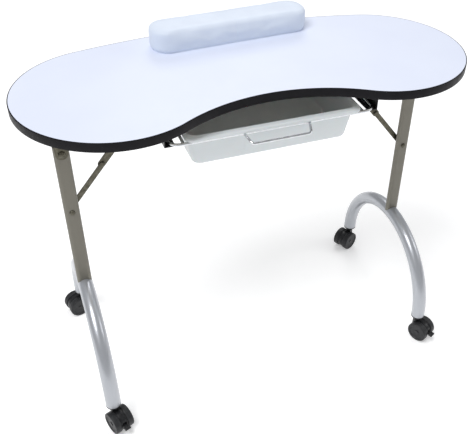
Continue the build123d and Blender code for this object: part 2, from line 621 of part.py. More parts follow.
def castor_body(braked):
    """The moulded body between the wheels, with a round neck under the tube end."""
    half = CASTOR_BODY_THICKNESS / 2
    body = crosswise(CASTOR_TRAIL, AXLE_Z, -half, half, CASTOR_BODY_RADIUS)
    neck_low = AXLE_Z + WHEEL_RADIUS + NECK_WHEEL_GAP
    fin = upright(0, 0, AXLE_Z, neck_low, CASTOR_NECK_RADIUS)
    reach = 2 * WHEEL_RADIUS
    fin &= block((-reach, reach), (-half, half), (0, neck_low))
    body += fin
    body += upright(0, 0, neck_low, NECK_TOP, CASTOR_NECK_RADIUS)
    body -= block((-reach, 2 * reach), (-half, half), (0, CASTOR_BODY_GROUND_GAP))
    body -= crosswise(CASTOR_TRAIL, AXLE_Z, -half, half, AXLE_RADIUS)
    body -= upright(0, 0, NECK_TOP - STEM_SEAT, NECK_TOP, STEM_RADIUS)
    if braked:
        pivot_x = CASTOR_TRAIL + BRAKE_PIVOT_RADIUS
        slot = BRAKE_SLOT_WIDTH / 2
        slot_start = pivot_x - BRAKE_HUB_RADIUS - WHEEL_SIDE_GAP
        body -= block((slot_start, 2 * reach), (-slot, slot), (0, AXLE_Z + 2 * BRAKE_HUB_RADIUS))
        trunnion = BRAKE_TRUNNION_RADIUS + RUNNING_CLEARANCE
        body -= crosswise(pivot_x, AXLE_Z, -half, half, trunnion)
    return body


def castor_stem():
    """The steel pin pressed into the neck; it turns in the socket of the tube end."""
    return upright(0, 0, NECK_TOP - STEM_SEAT, NECK_TOP + STEM_LENGTH, STEM_RADIUS)


def castor_axle():
    """The axle pressed through the body, with a head outside each wheel."""
    end = CASTOR_BODY_THICKNESS / 2 + WHEEL_SIDE_GAP + WHEEL_WIDTH + RUNNING_CLEARANCE
    end -= WHEEL_RECESS_DEPTH
    axle = crosswise(CASTOR_TRAIL, AXLE_Z, -end, end, AXLE_RADIUS)
    for low in (-end - AXLE_HEAD_HEIGHT, end):
        axle += crosswise(CASTOR_TRAIL, AXLE_Z, low, low + AXLE_HEAD_HEIGHT, AXLE_HEAD_RADIUS)
    return axle


def castor_wheel(side):
    """A moulded wheel on the `side` (+1 or -1) end of the axle, with a dished outer face."""
    inner = CASTOR_BODY_THICKNESS / 2 + WHEEL_SIDE_GAP
    outer = inner + WHEEL_WIDTH
    wheel = crosswise(CASTOR_TRAIL, AXLE_Z, inner, outer, WHEEL_RADIUS)
    rims = wheel.edges().filter_by(GeomType.CIRCLE)
    wheel = fillet(rims, WHEEL_EDGE_FILLET)
    wheel -= crosswise(CASTOR_TRAIL, AXLE_Z, outer - WHEEL_RECESS_DEPTH, outer, WHEEL_RECESS_RADIUS)
    wheel -= crosswise(CASTOR_TRAIL, AXLE_Z, inner, outer, AXLE_RADIUS + RUNNING_CLEARANCE)
    return wheel if side > 0 else mirror(wheel, Plane.XZ)


def brake_lever():
    """The pedal of a braked castor, with trunnions that turn in the body's cheeks."""
    pivot_x = CASTOR_TRAIL + BRAKE_PIVOT_RADIUS
    arm = BRAKE_ARM_WIDTH / 2
    pedal = BRAKE_PEDAL_WIDTH / 2
    thick = BRAKE_PEDAL_THICKNESS / 2
    tip = pivot_x + BRAKE_REACH
    lever = crosswise(pivot_x, AXLE_Z, -arm, arm, BRAKE_HUB_RADIUS)
    lever += block((pivot_x, tip - 1), (-arm, arm), (AXLE_Z - thick, AXLE_Z + thick))
    plate = block((tip - BRAKE_PEDAL_LENGTH, tip), (-pedal, pedal), (AXLE_Z - thick, AXLE_Z + thick))
    plate = fillet(plate.edges().filter_by(Axis.Y), thick * 0.6)
    lever += plate
    half = CASTOR_BODY_THICKNESS / 2
    return lever + crosswise(pivot_x, AXLE_Z, -half, half, BRAKE_TRUNNION_RADIUS)


# --- Wrist cushion -------------------------------------------------------------------
def place_cushion(shape):
    return Pos(CUSHION_X, CUSHION_Y, TABLE_HEIGHT) * Rot(0, 0, CUSHION_TURN) * shape


def cushion_base():
    """The board inside the cushion's underside."""
    face = RectangleRounded(
        CUSHION_LENGTH - 2 * CUSHION_BASE_INSET,
        CUSHION_DEPTH - 2 * CUSHION_BASE_INSET,
        CUSHION_END_RADIUS - CUSHION_BASE_INSET,
    )
    return extrude(face, CUSHION_BASE_THICKNESS)


def cushion_pad():
    """The covered pad, round at its ends and along its top."""
    face = Pos(0, 0, CUSHION_BASE_THICKNESS) * RectangleRounded(
        CUSHION_LENGTH, CUSHION_DEPTH, CUSHION_END_RADIUS
    )
    pad = extrude(face, CUSHION_HEIGHT - CUSHION_BASE_THICKNESS)
    top = pad.edges().group_by(Axis.Z)[-1]
    pad = fillet(top, CUSHION_TOP_FILLET)
    bottom = pad.edges().group_by(Axis.Z)[0]
    return fillet(bottom, CUSHION_BOTTOM_FILLET)


# --- All nodes -----------------------------------------------------------------------
def build_nodes():
    nodes = {
        "top_board": top_board(),
        "top_laminate": top_laminate(),
        "edge_band": edge_band(),
        "hanger_screws": hanger_screws(),
        "leg_pivot_bolts": leg_pivot_bolts(),
        "stay_bracket_screws": bracket_screws(),
        "stay_bracket_rivets": bracket_rivets(),
        "runner_screws": runner_screws(),
        "runner_stops": runner_stops(),
        "tray_wire_frame": wire_frame(),
        "tray_rear_wire": rear_wire(),
        "tray_handle": pull_handle(),
        "tray": tray(),
        "cushion_base": place_cushion(cushion_base()),
        "cushion_pad": place_cushion(cushion_pad()),
    }
    handed = {
        "leg_hanger": leg_hanger(),
        "leg_post": leg_post(),
        "foot_arch": foot_arch(),
        "castor_sockets": castor_sockets(),
        "stay_bolt": stay_bolt(),
        "stay_lower": stay_lower(),
        "stay_upper": stay_upper(),
        "knee_rivet": knee_rivet(),
        "stay_bracket": stay_bracket(),
        "tray_runner": tray_runner(),
        "tray_side_bar": side_bar(),
    }
    for name, shape in handed.items():
        nodes["right_" + name] = shape
        nodes["left_" + name] = to_left(shape)
    for corner in CORNERS:
        braked = corner in BRAKED
        pieces = {
            "castor_body": castor_body(braked),
            "castor_stem": castor_stem(),
            "castor_axle": castor_axle(),
            "wheel_left": castor_wheel(1),
            "wheel_right": castor_wheel(-1),
        }
        if braked:
            pieces["brake_lever"] = brake_lever()
        for name, shape in pieces.items():
            nodes[corner + "_" + name] = place_castor(shape, corner)
    return nodes


os.makedirs("parts", exist_ok=True)
for node, shape in build_nodes().items():
    export_step(Pos(0, LEG_PLANE_Y, 0) * shape, f"parts/{node}.step")
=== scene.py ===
"""Looks of the folding manicure table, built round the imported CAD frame.

Everything is in metres in the row frame: +Z up, the client at -Y, legs at y = 0.014.
"""
import json
from math import cos, exp, pi, radians, sin, sqrt

import bmesh
import bpy
from mathutils import Matrix, Vector


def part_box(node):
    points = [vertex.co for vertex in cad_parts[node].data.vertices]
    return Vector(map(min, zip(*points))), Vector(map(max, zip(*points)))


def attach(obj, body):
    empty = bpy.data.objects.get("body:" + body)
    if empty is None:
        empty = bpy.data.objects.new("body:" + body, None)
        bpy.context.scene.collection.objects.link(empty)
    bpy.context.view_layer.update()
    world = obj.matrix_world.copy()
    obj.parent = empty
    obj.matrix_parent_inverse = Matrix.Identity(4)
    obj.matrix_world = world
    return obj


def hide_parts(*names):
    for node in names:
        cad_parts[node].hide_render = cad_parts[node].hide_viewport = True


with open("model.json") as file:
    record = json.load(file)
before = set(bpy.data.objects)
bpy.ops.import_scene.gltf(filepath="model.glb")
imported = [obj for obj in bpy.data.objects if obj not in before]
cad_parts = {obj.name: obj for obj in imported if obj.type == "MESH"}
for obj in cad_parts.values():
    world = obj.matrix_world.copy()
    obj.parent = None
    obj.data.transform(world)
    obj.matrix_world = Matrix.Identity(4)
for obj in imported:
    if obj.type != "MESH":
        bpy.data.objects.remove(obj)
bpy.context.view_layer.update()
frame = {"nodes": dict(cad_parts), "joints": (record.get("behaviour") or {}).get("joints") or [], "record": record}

JOINTS = {joint["name"]: joint for joint in frame["joints"]}
CORNERS = ("front_left", "front_right", "rear_right", "rear_left")
SIDES = ("left", "right")


# --- Materials -----------------------------------------------------------------------
def linear(red, green, blue):
    """An 0-255 sRGB colour as linear RGBA."""
    def one(value):
        value /= 255
        return value / 12.92 if value <= 0.04045 else ((value + 0.055) / 1.055) ** 2.4
    return (one(red), one(green), one(blue), 1.0)


class Surface:
    """A Principled material in object space, grown a layer at a time."""

    def __init__(self, name, roughness=0.5, metallic=0.0, **sockets):
        self.material = bpy.data.materials.new(name)
        self.material.use_nodes = True
        self.tree = self.material.node_tree
        self.shader = self.tree.nodes["Principled BSDF"]
        self.shader.inputs["Roughness"].default_value = roughness
        self.shader.inputs["Metallic"].default_value = metallic
        for socket, value in sockets.items():
            self.shader.inputs[socket.replace("_", " ")].default_value = value
        self.place = self.node("ShaderNodeTexCoord").outputs["Object"]
        self.normal = None

    def node(self, kind, **values):
        made = self.tree.nodes.new(kind)
        for key, value in values.items():
            setattr(made, key, value)
        return made

    def link(self, output, socket):
        self.tree.links.new(output, socket)

    def stretched(self, scale):
        """Object space scaled by a vector, for brushed or drawn directions."""
        mapping = self.node("ShaderNodeMapping")
        mapping.inputs["Scale"].default_value = scale
        self.link(self.place, mapping.inputs["Vector"])
        return mapping.outputs["Vector"]

    def noise(self, scale, detail=3.0, space=None):
        noise = self.node("ShaderNodeTexNoise")
        noise.inputs["Scale"].default_value = scale
        noise.inputs["Detail"].default_value = detail
        self.link(space or self.place, noise.inputs["Vector"])
        return noise.outputs["Fac"]

    def cells(self, scale, feature="F1"):
        cells = self.node("ShaderNodeTexVoronoi", feature=feature)
        cells.inputs["Scale"].default_value = scale
        self.link(self.place, cells.inputs["Vector"])
        return cells.outputs["Distance"]

    def spread(self, value, low, high, start=0.3, end=0.7):
        """Map a texture value to the range low..high."""
        spread = self.node("ShaderNodeMapRange")
        spread.inputs["From Min"].default_value = start
        spread.inputs["From Max"].default_value = end
        spread.inputs["To Min"].default_value = low
        spread.inputs["To Max"].default_value = high
        self.link(value, spread.inputs["Value"])
        return spread.outputs["Result"]

    def colour(self, stops, value):
        """Base colour from a ramp of (place, colour) stops, driven by value."""
        ramp = self.node("ShaderNodeValToRGB")
        ramp.color_ramp.elements[0].position, ramp.color_ramp.elements[0].color = stops[0]
        ramp.color_ramp.elements[1].position, ramp.color_ramp.elements[1].color = stops[-1]
        for place, colour in stops[1:-1]:
            ramp.color_ramp.elements.new(place).color = colour
        self.link(value, ramp.inputs["Fac"])
        self.link(ramp.outputs["Color"], self.shader.inputs["Base Color"])
        return self

    def rough(self, value, low, high):
        self.link(self.spread(value, low, high), self.shader.inputs["Roughness"])
        return self

    def bump(self, value, height):
        """Add a bump layer whose full height is given in metres."""
        bump = self.node("ShaderNodeBump")
        bump.inputs["Strength"].default_value = 1.0
        bump.inputs["Distance"].default_value = height
        self.link(value, bump.inputs["Height"])
        if self.normal:
            self.link(self.normal, bump.inputs["Normal"])
        self.normal = bump.outputs["Normal"]
        self.link(self.normal, self.shader.inputs["Normal"])
        return self


def white_laminate():
    s = Surface("white_laminate", roughness=0.42, Specular_IOR_Level=0.3)
    s.colour([(0.35, linear(225, 231, 248)), (0.65, linear(228, 234, 250))], s.noise(6, 2))
    s.rough(s.noise(60, 4), 0.38, 0.48)
    return s.bump(s.noise(700, 2), 0.00002).material


def fibreboard():
    s = Surface("board", roughness=0.85)
    s.colour(
        [(0.3, linear(196, 190, 180)), (0.5, linear(208, 203, 194)), (0.7, linear(218, 214, 206))],
        s.noise(500, 6),
    )
    return s.bump(s.noise(900, 5), 0.0001).material


def black_edge():
    s = Surface("black_edge", roughness=0.42, Specular_IOR_Level=0.14)
    s.colour([(0.3, linear(15, 14, 18)), (0.7, linear(22, 21, 25))], s.noise(40, 4))
    s.rough(s.noise(90, 5), 0.36, 0.52)
    return s.bump(s.noise(1400, 3), 0.00003).material


def silver_paint():
    s = Surface("silver_paint", roughness=0.3, metallic=0.55, Coat_Weight=0.35, Coat_Roughness=0.1)
    s.colour([(0.2, linear(174, 177, 182)), (0.8, linear(184, 187, 193))], s.noise(2600, 2))
    s.rough(s.noise(40, 2), 0.28, 0.34)
    return s.bump(s.cells(2600), 0.000001).material


# Painted shade: the leg posts wear the same silver paint as the arches; this darker, duller copy stands in for the
# shade on their flat faces.
def taupe_paint():
    s = Surface("taupe_paint", roughness=0.42, metallic=0.35, Specular_IOR_Level=0.3)
    s.colour([(0.2, linear(114, 111, 102)), (0.8, linear(126, 123, 114))], s.noise(2600, 2))
    s.rough(s.noise(40, 2), 0.38, 0.46)
    return s.bump(s.cells(2600), 0.000002).material


def zinc_steel():
    s = Surface("zinc_steel", roughness=0.42, metallic=0.8)
    s.colour(
        [(0.3, linear(80, 77, 66)), (0.55, linear(97, 94, 82)), (0.75, linear(114, 111, 99))],
        s.noise(160, 5),
    )
    s.rough(s.noise(240, 5), 0.32, 0.55)
    return s.bump(s.noise(900, 3), 0.00003).material


def chrome_wire():
    s = Surface("chrome_wire", roughness=0.12, metallic=1.0)
    s.colour([(0.3, linear(205, 207, 210)), (0.7, linear(228, 230, 233))], s.noise(200, 3))
    s.rough(s.noise(300, 4), 0.08, 0.2)
    return s.bump(s.noise(500, 3, s.stretched((1, 1, 6))), 0.00001).material


def grey_bar():
    s = Surface("grey_bar", roughness=0.4, metallic=0.2)
    s.colour([(0.3, linear(150, 153, 154)), (0.7, linear(163, 166, 167))], s.noise(90, 4))
    s.rough(s.noise(200, 4), 0.32, 0.5)
    return s.bump(s.noise(600, 3), 0.00003).material


def black_steel():
    s = Surface("black_steel", roughness=0.4, metallic=0.1)
    s.colour([(0.3, linear(24, 24, 27)), (0.7, linear(36, 36, 39))], s.noise(80, 4))
    s.rough(s.noise(160, 4), 0.3, 0.5)
    return s.bump(s.noise(900, 3), 0.00003).material


def white_tray():
    s = Surface("white_tray", roughness=0.36, Subsurface_Weight=0.06, Subsurface_Scale=0.003)
    s.colour([(0.3, linear(212, 218, 220)), (0.7, linear(218, 223, 225))], s.noise(14, 3))
    s.rough(s.noise(70, 4), 0.3, 0.44)
    return s.bump(s.noise(500, 3), 0.00003).material


def white_vinyl():
    s = Surface("white_vinyl", roughness=0.45, Specular_IOR_Level=0.4, Sheen_Weight=0.08)
    s.colour([(0.3, linear(217, 226, 241)), (0.7, linear(223, 232, 246))], s.noise(25, 4))
    s.rough(s.noise(180, 4), 0.4, 0.55)
    return s.bump(s.cells(1300), 0.00003).material


def black_plastic(name, low, high, gloss):
    s = Surface(name, roughness=gloss, Specular_IOR_Level=0.35)
    dark, light = linear(low, low, low + 2), linear(high, high + 1, high + 3)
    s.colour([(0.3, dark), (0.7, light)], s.noise(150, 4))
    s.rough(s.noise(300, 4), gloss - 0.06, gloss + 0.12)
    return s.bump(s.noise(1600, 3), 0.00003).material


MATERIALS = {
    "board": fibreboard(),
    "white_laminate": white_laminate(),
    "black_edge": black_edge(),
    "silver_paint": silver_paint(),
    # Painted shade: a darker copy of the silver paint, put on the posts.
    "taupe_paint": taupe_paint(),
    "zinc_steel": zinc_steel(),
    "black_steel": black_steel(),
    # Painted shade: the cushion's base board takes this dark nylon so that it stands in for the shade in the gap
    # under the cushion's overhang.
    "black_nylon": black_plastic("black_nylon", 26, 34, 0.5),
    "chrome_wire": chrome_wire(),
    "grey_bar": grey_bar(),
    "white_tray": white_tray(),
    "white_vinyl": white_vinyl(),
    "black_wheel": black_plastic("black_wheel", 34, 44, 0.42),
    "black_castor": black_plastic("black_castor", 24, 33, 0.3),
}
SLOT_OF = {part["node"]: part["material_slot"] for part in frame["record"]["subparts"]}


# --- Mesh helpers --------------------------------------------------------------------
def finish_piece(obj, slot_name, body, *nodes):
    """Give a piece its material, its body and the CAD nodes that it stands for."""
    obj.data.materials.clear()
    obj.data.materials.append(MATERIALS[slot_name])
    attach(obj, body)
    if nodes:
        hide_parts(*nodes)
    return obj


def object_from(name, bm, sharp_angle=35):
    """A scene object whose faces are smooth up to sharp_angle degrees."""
    mesh = bpy.data.meshes.new(name)
    bmesh.ops.recalc_face_normals(bm, faces=bm.faces)
    limit = radians(sharp_angle)
    for face in bm.faces:
        face.smooth = True
    for edge in bm.edges:
        edge.smooth = len(edge.link_faces) == 2 and edge.calc_face_angle(pi) < limit
    bm.to_mesh(mesh)
    bm.free()
    obj = bpy.data.objects.new(name, mesh)
    bpy.context.scene.collection.objects.link(obj)
    return obj


def bridge_rings(bm, rings, close_section=False):
    """Faces between successive closed rings of points; the section may close on itself."""
    made = [[bm.verts.new(point) for point in ring] for ring in rings]
    pairs = list(zip(made, made[1:]))
    if close_section:
        pairs.append((made[-1], made[0]))
    for one, other in pairs:
        for i in range(len(one)):
            j = (i + 1) % len(one)
            bm.faces.new((one[i], one[j], other[j], other[i]))
    return made


def turned_rings(profile, place, segments):
    """Rings of the (radius, height) points turned about the local Z of the matrix `place`."""
    angles = [2 * pi * i / segments for i in range(segments)]
    return [
        [place @ Vector((radius * cos(angle), radius * sin(angle), height)) for angle in angles]
        for radius, height in profile
    ]


def lathe(bm, profile, place, segments):
    """A solid of revolution with flat ends."""
    made = bridge_rings(bm, turned_rings(profile, place, segments))
    for ring in (made[0], made[-1]):
        bm.faces.new(ring)


def tube_lathe(bm, profile, place, segments=96):
    """Like lathe, but the profile is a closed loop round a bore."""
    bridge_rings(bm, turned_rings(profile, place, segments), close_section=True)


def along(axis, origin):
    """A matrix whose local Z runs along axis from origin."""
    turn = Vector((0, 0, 1)).rotation_difference(Vector(axis).normalized()).to_matrix().to_4x4()
    return Matrix.Translation(Vector(origin)) @ turn


def arc(centre_r, centre_h, radius, start, end, steps=5):
    """Profile points along an arc, angles in degrees."""
    points = []
    for i in range(steps + 1):
        angle = radians(start + (end - start) * i / steps)
        points.append((centre_r + radius * cos(angle), centre_h + radius * sin(angle)))
    return points


def softened(node, width, body, segments=2):
    """A copy of a CAD node with its sharp edges rounded by `width`."""
    bm = bmesh.new()
    bm.from_mesh(frame["nodes"][node].data)
    bmesh.ops.remove_doubles(bm, verts=bm.verts, dist=1e-6)
    bmesh.ops.dissolve_limit(bm, angle_limit=radians(1.0), verts=bm.verts, edges=bm.edges)
    sharp = [
        e for e in bm.edges if len(e.link_faces) == 2 and e.calc_face_angle(0) > radians(40)
    ]
    bmesh.ops.bevel(
        bm, geom=sharp, offset=width, segments=segments, profile=0.5, affect="EDGES",
        clamp_overlap=True,
    )
    bmesh.ops.triangulate(bm, faces=[f for f in bm.faces if len(f.verts) > 4])
    obj = object_from(node + "_shape", bm, 50)
    return finish_piece(obj, SLOT_OF[node], body, node)


# --- Worktop edge --------------------------------------------------------------------
BACK_CROWN = 0.030
NOTCH_RADIUS = 0.330
EDGE_THICKNESS = 0.002
EDGE_ROUND = 0.0012


def kidney_ring(inset, z, steps=72):
    """Points round the worktop's outline, drawn in by `inset`."""
    low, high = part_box("edge_band")
    half_length = (high.x - low.x) / 2
    depth = high.y - low.y
    lobe = (depth - BACK_CROWN) / 2
    lobe_x = half_length - lobe
    lobe_y = low.y + lobe
    back = (lobe_x**2 + (lobe + BACK_CROWN) ** 2 - lobe**2) / (2 * BACK_CROWN)
    back_y = high.y - back
    notch_y = lobe_y - sqrt((lobe + NOTCH_RADIUS) ** 2 - lobe_x**2)
    to_back = Vector((lobe_x, lobe_y - back_y)).normalized()
    to_notch = Vector((lobe_x, lobe_y - notch_y)).normalized()
    back_angle = Vector((1, 0)).angle_signed(to_back)
    notch_angle = Vector((1, 0)).angle_signed(to_notch)
    back_angle, notch_angle = abs(back_angle), abs(notch_angle)

    def sweep(cx, cy, radius, start, end, count):
        return [
            (cx + radius * cos(start + (end - start) * i / count),
             cy + radius * sin(start + (end - start) * i / count), z)
            for i in range(count)
        ]

    ring = sweep(0, back_y, back - inset, pi - back_angle, back_angle, steps)
    ring += sweep(lobe_x, lobe_y, lobe - inset, back_angle, notch_angle - pi, steps)
    ring += sweep(0, notch_y, NOTCH_RADIUS + inset, notch_angle, pi - notch_angle, steps)
    ring += sweep(-lobe_x, lobe_y, lobe - inset, 2 * pi - notch_angle, pi - back_angle, steps)
    return ring


def edge_band():
    """The black edging: a soft-cornered strip pushed round the worktop."""
    low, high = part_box("edge_band")
    section = [(EDGE_THICKNESS, low.z)]
    for z, start in ((low.z + EDGE_ROUND, -90), (high.z - EDGE_ROUND, 0)):
        section += [(EDGE_ROUND - r, z + h) for r, h in arc(0, 0, EDGE_ROUND, start, start + 90, 4)]
    section += [(EDGE_THICKNESS, high.z)]
    bm = bmesh.new()
    bridge_rings(bm, [kidney_ring(inset, z) for inset, z in section], close_section=True)
    return finish_piece(object_from("worktop_edging", bm, 40), "black_edge", "table", "edge_band")


# --- Tray ----------------------------------------------------------------------------
TRAY_WALL = 0.0025
TRAY_FLOOR = 0.003
TRAY_RIM = 0.00635
TRAY_RIM_SIDE = 0.005
TRAY_RIM_END = 0.012
TRAY_RIM_CORNER = 0.015
TRAY_LIP = 0.001
TRAY_DRAFT = 0.013
TRAY_CORNER = 0.015
TRAY_FOOT_ROUND = 0.007
TRAY_PANEL_HALF = 0.058
TRAY_PANEL_STEP = 0.0008
PANEL_STEPS = [
    (-TRAY_PANEL_HALF - 0.004, 0), (-TRAY_PANEL_HALF - 0.001, 0.5), (-TRAY_PANEL_HALF + 0.002, 1),
    (0.0, 1),
    (TRAY_PANEL_HALF - 0.002, 1), (TRAY_PANEL_HALF + 0.001, 0.5), (TRAY_PANEL_HALF + 0.004, 0),
]


def rounded_ring(centre, half_x, half_y, corner, z, bulge=0.0, steps=12):
    """A rounded rectangle of points; `bulge` steps its front middle outwards."""
    ring = []
    for sx, sy, start in ((1, 1, 0), (-1, 1, 90), (-1, -1, 180), (1, -1, 270)):
        cx = centre[0] + sx * (half_x - corner)
        cy = centre[1] + sy * (half_y - corner)
        for i in range(steps + 1):
            angle = radians(start + 90 * i / steps)
            ring.append((cx + corner * cos(angle), cy + corner * sin(angle), z))
        if start == 180:
            front = centre[1] - half_y
            ring += [(centre[0] + x, front - out * bulge, z) for x, out in PANEL_STEPS]
    return ring


def tray():
    """The moulded tray: drafted walls, rounded foot, thick rolled rim and a raised front panel."""
    low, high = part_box("tray")
    centre = ((low.x + high.x) / 2, (low.y + high.y) / 2)
    rim_x, rim_y = (high.x - low.x) / 2, (high.y - low.y) / 2
    foot_x, foot_y = rim_x - TRAY_RIM_SIDE - TRAY_DRAFT, rim_y - TRAY_RIM_END - TRAY_DRAFT
    height = high.z - low.z

    def ring(grow, z, bulge=0.0):
        """A ring of the drafted body, `grow` outside its foot."""
        corner = TRAY_CORNER + max(grow, 0.004 - TRAY_CORNER) * 0.5
        return rounded_ring(centre, foot_x + grow, foot_y + grow, corner, z, bulge)

    def rim(share, z):
        """A ring between the body's top (0) and the rim's outer edge (1)."""
        corner = TRAY_CORNER + TRAY_DRAFT / 2
        corner += (TRAY_RIM_CORNER - corner) * share
        half_x = foot_x + TRAY_DRAFT + TRAY_RIM_SIDE * share
        half_y = foot_y + TRAY_DRAFT + TRAY_RIM_END * share
        return rounded_ring(centre, half_x, half_y, corner, z)

    def draft(z):
        return TRAY_DRAFT * (z - low.z) / height

    foot, wall = TRAY_FOOT_ROUND, TRAY_WALL
    rim_low = high.z - TRAY_RIM
    rings = [ring(-foot - 0.01, low.z)]
    for a in (0, 18, 36, 54, 72, 90):
        z = low.z + foot * (1 - cos(radians(a)))
        rings.append(ring(draft(z) - foot * (1 - sin(radians(a))), z))
    for share, bulge in ((0.22, 0), (0.28, 1), (0.5, 1), (0.72, 1), (0.78, 0)):
        z = low.z + height * share
        rings.append(ring(draft(z), z, bulge * TRAY_PANEL_STEP))
    rings.append(ring(draft(rim_low), rim_low))
    half = TRAY_RIM / 2
    rings.append(rim(0.62, rim_low))
    rings += [rim(share, z) for share, z in (
        (0.72, rim_low - TRAY_LIP * 0.7), (0.82, rim_low - TRAY_LIP),
        (0.93, rim_low - TRAY_LIP * 0.6),
        (0.99, rim_low + half * 0.3), (1.0, rim_low + half), (0.985, high.z - half * 0.6),
        (0.93, high.z - half * 0.28), (0.83, high.z - half * 0.07), (0.7, high.z),
    )]
    rings += [rim(0.2, high.z), ring(draft(high.z) - wall * 0.2, high.z - 0.0003),
              ring(draft(high.z) - wall * 0.75, high.z - 0.0012)]
    floor = low.z + TRAY_FLOOR
    inner = foot - wall
    rings += [ring(draft(z) - wall, z) for z in (high.z - 0.003, low.z + height * 0.6)]
    for a in (0, 30, 60, 90):
        z = floor + inner * (1 - sin(radians(a)))
        rings.append(ring(draft(z) - wall - inner * (1 - cos(radians(a))), z))
    rings.append(ring(-foot - 0.01, floor))
    bm = bmesh.new()
    made = bridge_rings(bm, rings)
    bm.faces.new(made[0])
    bm.faces.new(made[-1])
    return finish_piece(object_from("tray_shell", bm, 50), "white_tray", "slide_tray", "tray")


# --- Leg arches ----------------------------------------------------------------------
ARCH_TUBE = 0.032


def foot_arch(side, sweeps=96, around=40):
    """The half-ring of round tube that stands on a side's two castors, its ends capped."""
    node = side + "_foot_arch"
    low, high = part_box(node)
    radius = ARCH_TUBE / 2
    centre = Vector(((low.x + high.x) / 2, (low.y + high.y) / 2, low.z))
    sweep = (high.y - low.y) / 2 - radius
    bm = bmesh.new()
    rings = []
    for i in range(sweeps + 1):
        angle = pi * i / sweeps
        out = Vector((0, cos(angle), sin(angle)))
        turns = [2 * pi * j / around for j in range(around)]
        rings.append([
            centre + out * (sweep + radius * cos(turn)) + Vector((radius * sin(turn), 0, 0))
            for turn in turns
        ])
    made = bridge_rings(bm, rings)
    for ring in (made[0], made[-1]):
        bm.faces.new(ring)
    return finish_piece(object_from(node + "_tube", bm, 50), SLOT_OF[node], side + "_leg", node)


# --- Fasteners seen on the legs ------------------------------------------------------
def hexagon_prism(bm, x, z, low_y, high_y, radius, bore):
    """A chamfered hexagon nut along Y, with a bore."""
    place = along((0, 1, 0), (x, 0, z))
    chamfer = 0.12 * (high_y - low_y)
    rows = [(bore, low_y), (radius * 0.86, low_y), (radius, low_y + chamfer),
            (radius, high_y - chamfer), (radius * 0.86, high_y), (bore, high_y)]
    rings = []
    for row_radius, height in rows:
        ring = []
        for i in range(48):
            angle = 2 * pi * i / 48
            flat = cos(pi / 6) / cos((angle % (pi / 3)) - pi / 6)
            reach = min(row_radius, radius * flat) if row_radius > bore else bore
            ring.append(place @ Vector((reach * cos(angle), reach * sin(angle), height)))
        rings.append(ring)
    bridge_rings(bm, rings, close_section=True)


def domed_bolt(bm, x, z, head_low, head_high, nut_low, nut_high, head_radius, shank, nut_radius):
    """A bolt along Y: domed head at its front, threaded end and nut at its back."""
    place = along((0, 1, 0), (x, 0, z))
    height = head_high - head_low
    dome = [(head_radius * sin(radians(a)), head_high - height * (0.25 + 0.75 * cos(radians(a))))
            for a in (4, 18, 34, 50, 66, 80, 90)]
    profile = dome + [(head_radius, head_high), (shank, head_high), (shank, nut_high - shank * 0.2),
                      (shank * 0.8, nut_high)]
    lathe(bm, profile, place, 40)
    hexagon_prism(bm, x, z, nut_low, nut_high - shank * 0.25, nut_radius, shank)


PIVOT_HEAD_HEIGHT = 0.005
PIVOT_HEAD_RADIUS = 0.0068
PIVOT_SHANK = 0.004
PIVOT_NUT_RADIUS = 0.0075
PIVOT_NUT_HEIGHT = 0.0065
STAY_HEAD_HEIGHT = 0.004
STAY_HEAD_RADIUS = 0.0055
STAY_SHANK = 0.003
STAY_NUT_RADIUS = 0.0058
STAY_NUT_HEIGHT = 0.005
STAY_WASHER_RADIUS = 0.0065
STAY_WASHER_THICKNESS = 0.00045


def pivot_bolts():
    low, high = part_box("leg_pivot_bolts")
    z = JOINTS["left_leg_fold"]["pos_m"][2]
    bm = bmesh.new()
    for side in SIDES:
        x = JOINTS[side + "_leg_fold"]["pos_m"][0]
        domed_bolt(bm, x, z, low.y, low.y + PIVOT_HEAD_HEIGHT, high.y - PIVOT_NUT_HEIGHT, high.y,
                   PIVOT_HEAD_RADIUS, PIVOT_SHANK, PIVOT_NUT_RADIUS)
    return finish_piece(object_from("leg_pivot_bolt_pair", bm, 30), "zinc_steel", "table",
                        "leg_pivot_bolts")


def stay_bolt(side):
    node = side + "_stay_bolt"
    low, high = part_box(node)
    x, _, z = JOINTS[side + "_stay_lower_pivot"]["pos_m"]
    bm = bmesh.new()
    domed_bolt(bm, x, z, low.y, low.y + STAY_HEAD_HEIGHT, high.y - STAY_NUT_HEIGHT, high.y,
               STAY_HEAD_RADIUS, STAY_SHANK, STAY_NUT_RADIUS)
    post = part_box(side + "_leg_post")[1].y
    washer = [(STAY_SHANK, post), (STAY_WASHER_RADIUS, post),
              (STAY_WASHER_RADIUS, post + STAY_WASHER_THICKNESS),
              (STAY_SHANK, post + STAY_WASHER_THICKNESS)]
    tube_lathe(bm, washer, along((0, 1, 0), (x, 0, z)), 40)
    return finish_piece(object_from(node + "_set", bm, 30), "zinc_steel", side + "_leg", node)


# --- Castors -------------------------------------------------------------------------
WHEEL_RADIUS = 0.025
WHEEL_HALF_WIDTH = 0.007
WHEEL_BORE = 0.00305
WHEEL_EDGE_ROUND = 0.0022
WHEEL_GROOVE_HALF = 0.0005
WHEEL_GROOVE_DEPTH = 0.0004


